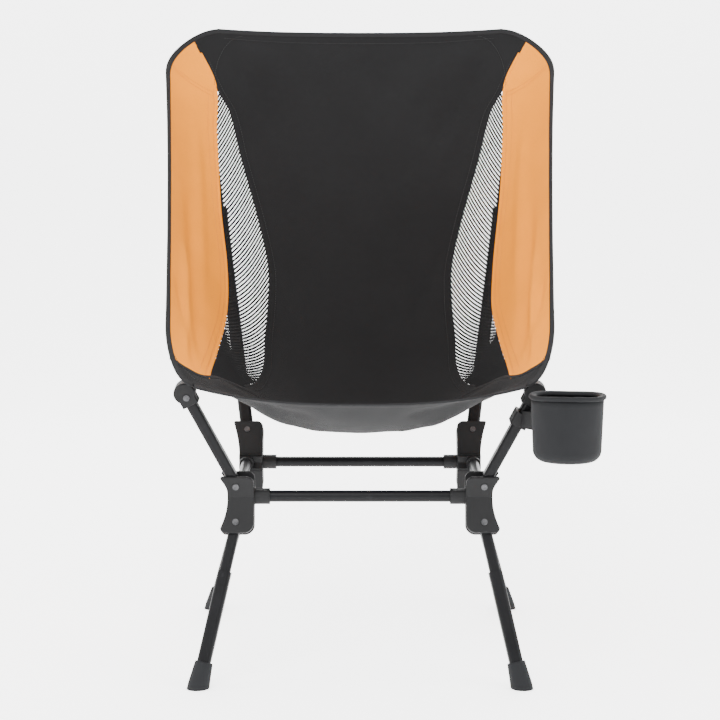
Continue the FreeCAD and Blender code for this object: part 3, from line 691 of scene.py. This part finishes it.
class CHAIR_OT_wings(bpy.types.Operator):
    """Make the orange wings"""
    bl_idname = "chair.wings"
    bl_label = "Wings"

    COLUMNS, CROWD = 41, 1.3

    def execute(self, context):
        for side, sign in SIDES.items():
            grid = between(wing_inner, outline, WING_START, self.COLUMNS, sizes().panel_rows, self.CROWD)
            points = sling(sign * grid[0], grid[1])
            piece = cloth_sheet(f"wing_cloth_{side}", points, sizes().cloth_thickness, "orange_cloth")
            ride(piece, "frame", "orange_fabric", f"wing_panel_{side}")
        return {"FINISHED"}


class CHAIR_OT_nets(bpy.types.Operator):
    """Make the open net panels as two crossing sets of flat strands"""
    bl_idname = "chair.nets"
    bl_label = "Net Panels"

    WIDTH, LENGTH = 0.30, 0.98
    SLOPES = (2.6, -0.33)
    FINE_SHARE, HALF_TALL, LAYER = 0.4, 0.0004, 0.0003
    CLEAR, SAMPLES, STATIONS = 0.001, 900, 40

    def execute(self, context):
        for side, sign in SIDES.items():
            self.make_net(side, sign)
        return {"FINISHED"}

    def make_net(self, side, sign):
        """Both sets of strands in one mesh, each strand a thin four-sided tube."""
        wide_set, fine_set = (self.strands(slope) for slope in self.SLOPES)
        lines = np.concatenate([wide_set, fine_set]) * np.array([sign, 1])
        first_set = np.arange(len(lines)) < len(wide_set)
        layer = np.where(first_set, self.LAYER, -self.LAYER)[:, None, None]
        wide = np.where(first_set, 1.0, self.FINE_SHARE)[:, None, None] * sizes().net_strand / 2
        points = sling(lines[..., 0], lines[..., 1])
        along = np.gradient(points, axis=1)
        along /= np.maximum(np.linalg.norm(along, axis=-1, keepdims=True), 1e-9)
        normal = upright(bare_sling, lines[..., 0], lines[..., 1])
        aside = np.cross(normal, along)
        ring = np.stack([points + normal * (layer + self.HALF_TALL * rise) + aside * wide * out
                         for out, rise in ((1, 0), (0, 1), (-1, 0), (0, -1))], 2)
        count, stations = ring.shape[:2]
        tube = grid_faces(stations, 4, around=True)
        ends = np.array([[0, 3, 2, 1], [0, 1, 2, 3]]) + np.array([[0], [(stations - 1) * 4]])
        faces = np.concatenate([tube, ends])
        faces = (faces[None] + (np.arange(count) * stations * 4)[:, None, None]).reshape(-1, 4)
        chart = np.repeat(lines[..., None, :], 4, 2) * np.array([self.WIDTH, self.LENGTH])
        piece = new_piece(f"net_{side}", ring, faces, "net_yarn", chart, smooth=False)
        outward(piece)
        ride(piece, "frame", "mesh_fabric", f"mesh_panel_{side}")

    def strands(self, slope):
        """Straight lines of one slope over the flattened panel, cut where they cross its seams."""
        turn = math.atan(slope)
        reach = self.LENGTH * 0.9
        offsets = np.arange(-1.4, 2.0, sizes().net_pitch / math.cos(turn))
        run = np.linspace(-reach, reach, self.SAMPLES)
        across = (0.2 + run[None] * math.cos(turn) + 0 * offsets[:, None]) / self.WIDTH
        down = (offsets[:, None] + run[None] * math.sin(turn)) / self.LENGTH
        inside = ((across > through(CENTRE_SEAM, down) + self.CLEAR)
                  & (across < through(WING_SEAM, down) - self.CLEAR)
                  & (down > NET_START + 0.005) & (down < seat_seam(across) - 0.002))
        some = inside.sum(1) > 4
        first = inside[some].argmax(1)
        last = self.SAMPLES - 1 - inside[some][:, ::-1].argmax(1)
        spots = first[:, None] + (last - first)[:, None] * np.linspace(0, 1, self.STATIONS)
        order = np.arange(self.SAMPLES)
        return np.stack([[np.interp(spot, order, row) for spot, row in zip(spots, values[some])]
                         for values in (across, down)], -1)


class CHAIR_OT_tapes(bpy.types.Operator):
    """Make the binding round the sling and the tapes over its seams"""
    bl_idname = "chair.tapes"
    bl_label = "Bindings and Seam Tapes"

    def execute(self, context):
        wide, thick = sizes().tape_width, sizes().tape_thickness
        top = band("top_edge_tape", lambda part: (0.736 * (2 * part - 1), 0 * part), wide, thick,
                   "binding_tape", 200)
        ride(top, "frame", "binding_tape", "top_binding")
        front = band("front_edge_tape", lambda part: (0.865 * (2 * part - 1), 0 * part + 1.0),
                     wide * 1.2, thick, "binding_tape", 200)
        ride(front, "frame", "binding_tape", "front_binding")
        for side, sign in SIDES.items():
            edge = band(f"side_edge_tape_{side}", edge_route(sign), wide, thick, "binding_tape", 300, 1.6)
            ride(edge, "frame", "binding_tape", f"edge_binding_{side}")
            centre = band(f"centre_seam_{side}", side_route(sign, CENTRE_SEAM, 0.105, 0.745), 0.0036, 0.0022,
                          "black_cloth", 200)
            ride(centre, "frame", "binding_tape")
            hem = band(f"wing_seam_{side}", side_route(sign, WING_SEAM, 0.05, 0.93), 0.0045, 0.0022,
                       "orange_cloth", 200)
            ride(hem, "frame", "orange_fabric")
        ride(band("seat_seam", self.seat_route, 0.008, 0.0026, "black_cloth", 260), "frame", "binding_tape")
        return {"FINISHED"}

    def seat_route(self, part):
        across = (2 * part - 1) * 0.985
        return across, seat_seam(across)


class CHAIR_OT_stitching(bpy.types.Operator):
    """Sew the stitch rows along the seams, hems and pockets"""
    bl_idname = "chair.stitching"
    bl_label = "Stitching"

    def execute(self, context):
        orange, black = [], []
        for sign in SIDES.values():
            for inset in (0.0, 0.009):
                orange.append((beside(sign, WING_SEAM, 0.015, 0.11, 0.92), inset * sign))
            for drop in (0.118, 0.126):
                orange.append((self.cross_row(sign, drop), 0.0))
            black.append((beside(sign, CENTRE_SEAM, -0.03, 0.06, 0.72), 0.0))
            black.append((self.pocket_row(sign), 0.0))
            black.append((self.corner_row(sign), 0.0))
        black.append((lambda part: (FLAT_TOP * (2 * part - 1), 0 * part + 0.012), 0.0))
        black.append((lambda part: (0.8 * (2 * part - 1), 0 * part + 0.975), 0.0))
        black.append((lambda part: (0.56 * (2 * part - 1), 0 * part + 0.742), 0.0))
        ride(stitches("orange_stitching", orange, "orange_thread"), "frame", "orange_fabric")
        ride(stitches("black_stitching", black, "black_thread"), "frame", "black_fabric")
        return {"FINISHED"}

    def cross_row(self, sign, drop):
        """A row across the wing, a little bowed, at the foot of its top pocket."""
        inner = through(WING_SEAM, drop) + 0.01
        return lambda part: (sign * (inner + (0.985 - inner) * part), drop + 0.004 * np.sin(np.pi * part))

    def pocket_row(self, sign):
        """The black half of the top pocket's edge: a quarter turn from the top edge to the wing seam."""
        return lambda part: (sign * (0.60 + 0.16 * np.sin(part * np.pi / 2)),
                             0.006 + 0.105 * (1 - np.cos(part * np.pi / 2)))

    def corner_row(self, sign):
        """The front corner patch's edge, from the side binding round to the front edge."""
        return lambda part: (sign * (0.985 - 0.30 * part ** 1.5), 0.925 + 0.06 * np.sin(part * np.pi / 2))


def patch(name, centre, reach, lift):
    """A domed patch on the sling: a rounded square of (across, down) rising to `lift` off the cloth."""
    power = 2.4
    part = np.linspace(0, 1, 40)
    turn = np.linspace(0, 2 * np.pi, 72, endpoint=False)
    rim = (np.abs(np.cos(turn)) ** power + np.abs(np.sin(turn)) ** power) ** (-1 / power)
    over = centre[0] + reach[0] * part[:, None] * rim * np.cos(turn)
    down = np.clip(centre[1] + reach[1] * part[:, None] * rim * np.sin(turn), 0.002, 0.998)
    over = np.sign(centre[0]) * np.minimum(np.abs(over), outline(down) - 0.004)
    base = sling(over, down)
    normal = upright(sling, over, down)
    rise = lift * (1 - part[:, None] ** 3) ** 1.5 + 0.0007
    outer = base + normal * (rise * np.ones_like(over))[..., None]
    inner = base + normal * 0.0002
    ring = np.concatenate([outer, inner[::-1]])
    count = ring.shape[1]
    faces = grid_faces(len(ring), count, around=True)
    chart = np.stack([over, down], -1) * np.array([0.3, 0.98])
    piece = new_piece(name, ring, faces, "black_cloth", np.concatenate([chart, chart[::-1]]))
    outward(piece, merge=True)
    return piece


class CHAIR_OT_pockets(bpy.types.Operator):
    """Make the pockets that take the pole tips and the front caps"""
    bl_idname = "chair.pockets"
    bl_label = "Corner Pockets"

    def execute(self, context):
        for side, sign in SIDES.items():
            top = patch(f"top_pocket_{side}", (sign * 0.77, 0.055), (0.15, 0.05), 0.0125)
            ride(top, "frame", "black_fabric")
            front = patch(f"front_pocket_{side}", (sign * 0.84, 0.955), (0.10, 0.04), 0.0035)
            ride(front, "frame", "black_fabric")
        return {"FINISHED"}


# ------------------------------------------------------------------ operators: the cup
def lathe(name, profile, centre, sway=0.0):
    """A cup or ring: a profile of (radius, height) turned about an upright axis; sway waves its height."""
    turns = 128
    turn = np.linspace(0, 2 * np.pi, turns, endpoint=False)
    radius = profile[:, 0][:, None] * np.ones(turns)
    height = profile[:, 1][:, None] + sway * np.sin(3 * turn + 0.6)
    ring = np.stack([centre[0] + radius * np.cos(turn), centre[1] + radius * np.sin(turn), height], -1)
    piece = new_piece(name, ring, grid_faces(len(profile), turns, around=True), "cup_rubber")
    outward(piece, merge=True)
    return piece


def arc(centre, radius, start, finish, count=10):
    """Points of an arc of a profile, from one angle in degrees to another."""
    angle = np.radians(np.linspace(start, finish, count))
    return np.stack([centre[0] + radius * np.cos(angle), centre[1] + radius * np.sin(angle)], -1)


class CHAIR_OT_cup(bpy.types.Operator):
    """Make the soft cup, its rolled rim and the folded grips inside it"""
    bl_idname = "chair.cup"
    bl_label = "Cup Holder"

    def execute(self, context):
        low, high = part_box("cup_body")
        rim_low, rim_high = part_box("cup_rim")
        centre = ((low.x + high.x) / 2, (low.y + high.y) / 2)
        radius = (high.x - low.x) / 2
        wall, foot, curve = 0.003, low.z, 0.015
        body = np.concatenate([
            [[0.0, foot]], arc((radius - 0.0025 - curve, foot + curve), curve, -90, -4, 14),
            [[radius - 0.0012, high.z - 0.03], [radius, high.z]],
            [[radius - wall, high.z], [radius - wall - 0.002, high.z - 0.04]],
            arc((radius - 0.0055 - curve, foot + wall + curve), curve - 0.001, -2, -88, 12),
            [[0.0, foot + wall]]])
        stretches = [np.linspace(start, finish, 5)[:-1] for start, finish in zip(body[:-1], body[1:])]
        dense = np.concatenate([*stretches, body[-1:]])
        ride(lathe("cup_shell", dense, centre), "frame", "cup_rubber", "cup_body")

        outer = (rim_high.x - rim_low.x) / 2
        tall = rim_high.z - rim_low.z
        middle = (rim_low.z + rim_high.z) / 2
        lip = arc((outer - tall / 2, middle), tall / 2, -90, 90, 12)
        inside = [[outer - 0.008, rim_high.z - 0.0012], [outer - 0.0095, rim_low.z + 0.0015],
                  [outer - 0.008, rim_low.z]]
        ring = np.concatenate([lip, inside, lip[:1]])
        ride(lathe("cup_lip", ring, centre, 0.0006), "frame", "cup_rubber", "cup_rim")
        for count, heading in enumerate((30, 150, 270)):
            self.grip(count, math.radians(heading), centre, radius - 0.006, high.z)
        return {"FINISHED"}

    def grip(self, count, heading, centre, reach, top):
        """A springy tongue that leans inwards from the rim: a bowed sheet over a third of the wall."""
        part = np.linspace(-1, 1, 25)[:, None]
        fall = np.linspace(0, 1, 15)[None, :]
        angle = heading + part * math.radians(38) * (1 - 0.35 * fall)
        radius = reach - 0.011 * np.sin(np.pi * fall * 0.6) * (1 - part ** 2) - 0.0005
        height = top - 0.001 - 0.03 * fall
        points = np.stack([centre[0] + radius * np.cos(angle), centre[1] + radius * np.sin(angle),
                           height * np.ones_like(angle)], -1)
        piece = cloth_sheet(f"cup_grip_{count}", points, 0.0012, "cup_rubber")
        ride(piece, "frame", "cup_rubber")


# ------------------------------------------------------------------ operators: the frame's finish
class CHAIR_OT_hardware(bpy.types.Operator):
    """Give every tube, hub, cap, pin and boot its material"""
    bl_idname = "chair.hardware"
    bl_label = "Frame Finish"

    KINDS = (("hub_", "moulded_plastic"), ("corner_cap_pins", "pin_steel"),
             ("corner_cap_", "moulded_plastic"), ("pole_ferrule_", "moulded_plastic"),
             ("pole_tip_", "moulded_plastic"),
             ("cup_clamp", "moulded_plastic"), ("leg_button_", "moulded_plastic"),
             ("leg_pivot_pins", "pin_steel"), ("arm_pivot_pins", "pin_steel"), ("foot_", "boot_rubber"))

    def execute(self, context):
        for name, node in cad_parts.items():
            finish = next((kind for start, kind in self.KINDS if name.startswith(start)), "black_tube")
            node.data.materials.clear()
            node.data.materials.append(material(finish))
        return {"FINISHED"}


# ------------------------------------------------------------------ the stage
class CHAIR_OT_stage(bpy.types.Operator):
    """Set the floor, the soft lights and the camera"""
    bl_idname = "chair.stage"
    bl_label = "Stage"

    LAMPS = (("key", (-0.9, -2.6, 2.7), 2.2, 150.0), ("fill", (2.4, -1.4, 1.5), 2.0, 70.0),
             ("side", (-2.6, -0.2, 1.4), 2.0, 60.0), ("back", (0.3, 2.2, 2.6), 2.0, 60.0))

    def execute(self, context):
        self.floor()
        self.lights(context)
        self.camera(context)
        return {"FINISHED"}

    def floor(self):
        """A wide pale floor whose profile turns up through a quarter circle into a wall behind the chair."""
        turn = np.radians(np.linspace(0, 90, 50))
        flat = np.concatenate([[-6.0], 2.6 + 1.6 * np.sin(turn), [4.2]])
        rise = np.concatenate([[0.0], 1.6 - 1.6 * np.cos(turn), [6.0]])
        across = np.linspace(-7, 7, 20)
        points = np.stack(np.broadcast_arrays(across[:, None], flat[None], rise[None]), -1)
        mesh = bpy.data.meshes.new("floor")
        mesh.from_pydata(points.reshape(-1, 3), [], grid_faces(20, len(flat)))
        floor = bpy.data.objects.new("floor", mesh)
        bpy.context.scene.collection.objects.link(floor)
        paint = Paint("floor_paint")
        mesh.materials.append(paint.finish((0.95, 0.95, 0.95, 1.0), 0.8, Specular_IOR_Level=0.1,
                                           Emission_Strength=2.2))

    def lights(self, context):
        """A large key over the camera, a fill each side and a pale world."""
        for name, place, size, power in self.LAMPS:
            lamp = bpy.data.lights.new(name, "AREA")
            lamp.energy, lamp.size = power, size
            holder = bpy.data.objects.new(name, lamp)
            holder.location = place
            aim = Vector((0, BASE_Y, 0.45)) - Vector(place)
            holder.rotation_euler = aim.to_track_quat("-Z", "Y").to_euler()
            context.scene.collection.objects.link(holder)
        world = bpy.data.worlds.new("studio")
        world.use_nodes = True
        world.node_tree.nodes["Background"].inputs["Color"].default_value = (1.0, 1.0, 1.0, 1.0)
        world.node_tree.nodes["Background"].inputs["Strength"].default_value = 1.7
        context.scene.world = world

    def camera(self, context):
        """A long lens at the height of the sitter's chest, tilted a little down."""
        eye_height, distance, tilt = 0.600, 2.430, 4.66
        lens = bpy.data.cameras.new("camera")
        lens.lens, lens.sensor_width = 87.75, 36.0
        holder = bpy.data.objects.new("camera", lens)
        holder.location = (0.0, BASE_Y - distance, eye_height)
        holder.rotation_euler = (math.radians(90 - tilt), 0.0, 0.0)
        context.scene.collection.objects.link(holder)
        context.scene.camera = holder


OPERATORS = (CHAIR_OT_stage, CHAIR_OT_hardware, CHAIR_OT_back, CHAIR_OT_seat, CHAIR_OT_wings, CHAIR_OT_nets,
             CHAIR_OT_tapes, CHAIR_OT_stitching, CHAIR_OT_pockets, CHAIR_OT_cup)


class CHAIR_PT_maker(bpy.types.Panel):
    """Lists the chair's steps, sizes and colours"""
    bl_idname = "CHAIR_PT_maker"
    bl_label = "Camping Chair"
    bl_space_type = "VIEW_3D"
    bl_region_type = "UI"
    bl_category = "Camping Chair"

    def draw(self, context):
        for settings in (context.scene.chair_sizes, context.scene.chair_colours):
            for name in type(settings).__annotations__:
                self.layout.prop(settings, name)
        for operator in OPERATORS:
            self.layout.operator(operator.bl_idname)


CLASSES = (ChairSizes, ChairColours, *OPERATORS, CHAIR_PT_maker)


def register():
    for made in CLASSES:
        bpy.utils.register_class(made)
    bpy.types.Scene.chair_sizes = PointerProperty(type=ChairSizes)
    bpy.types.Scene.chair_colours = PointerProperty(type=ChairColours)


def unregister():
    del bpy.types.Scene.chair_colours
    del bpy.types.Scene.chair_sizes
    for made in reversed(CLASSES):
        bpy.utils.unregister_class(made)


def main():
    register()
    for operator in OPERATORS:
        group, name = operator.bl_idname.split(".")
        getattr(getattr(bpy.ops, group), name)()


if __name__ == "__main__":
    main()
